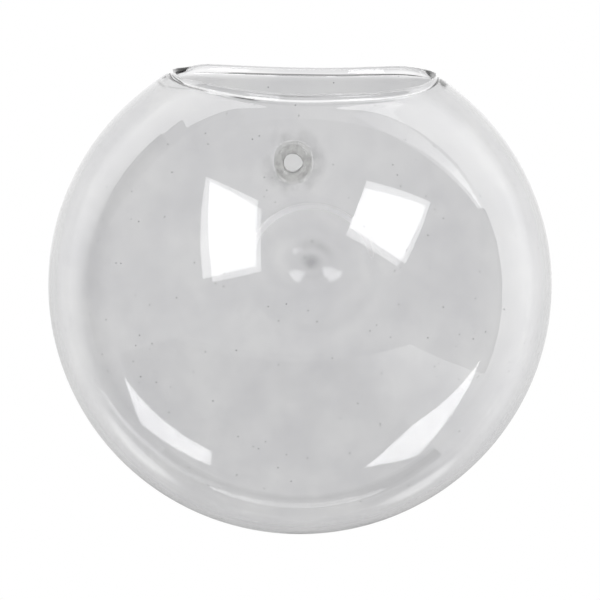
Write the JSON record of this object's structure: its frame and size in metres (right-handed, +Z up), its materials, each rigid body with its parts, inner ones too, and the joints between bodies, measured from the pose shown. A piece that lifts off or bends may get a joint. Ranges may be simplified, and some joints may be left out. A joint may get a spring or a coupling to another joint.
{
  "type": "hanging wall vase",
  "caption": "Round clear glass wall vase: a blown bubble with a flat back, a wide open mouth with a thick rounded lip, and a pierced hole that hangs it on a nail or screw.",
  "frame": {"origin": "middle of the hanging hole, on the plane of the wall that the flat back rests on", "axes": "+Z up, +Y into the wall along the hole, so the round front faces -Y; +X to the right seen from the front"},
  "size_m": [0.2, 0.096, 0.1861],
  "materials": {
    "clear_glass": "blown, clear and smooth",
    "fire_polished_glass": "thick, fire-polished and clear"
  },
  "bodies": {
    "root": {"front_dome": "clear_glass", "flat_back": "clear_glass", "mouth_rim": "fire_polished_glass", "hanging_eye": "fire_polished_glass"}
  },
  "joints": []
}
